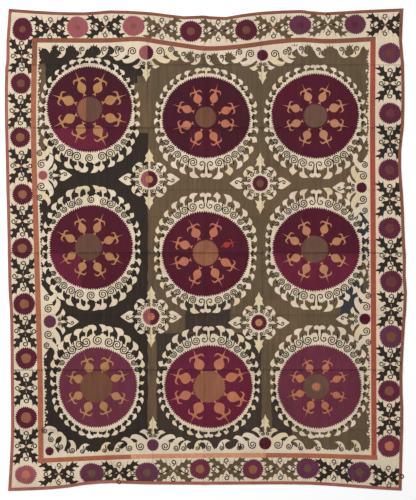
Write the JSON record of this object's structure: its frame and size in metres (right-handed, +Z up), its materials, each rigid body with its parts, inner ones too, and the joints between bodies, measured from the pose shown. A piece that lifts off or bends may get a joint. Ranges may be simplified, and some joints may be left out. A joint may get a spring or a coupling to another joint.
{
  "type": "suzani embroidered textile",
  "caption": "Large embroidered hanging of crimson medallions on a dark field with a cream border, laid flat and bound all round.",
  "frame": {"origin": "on the surface the cloth lies on, at the middle of its outline", "axes": "+Y runs up the design along the cloth's length, +X across it to the right, +Z up out of the embroidered face"},
  "size_m": [2.4134, 2.8959, 0.0064],
  "materials": {
    "embroidered_cloth": "silk embroidery, soft sheen",
    "edge_binding": "matt woven cotton"
  },
  "bodies": {
    "root": {"panel_left": "embroidered_cloth", "panel_middle": "embroidered_cloth", "panel_right": "embroidered_cloth", "binding_top": "edge_binding", "binding_bottom": "edge_binding", "binding_left": "edge_binding", "binding_right": "edge_binding"}
  },
  "joints": []
}
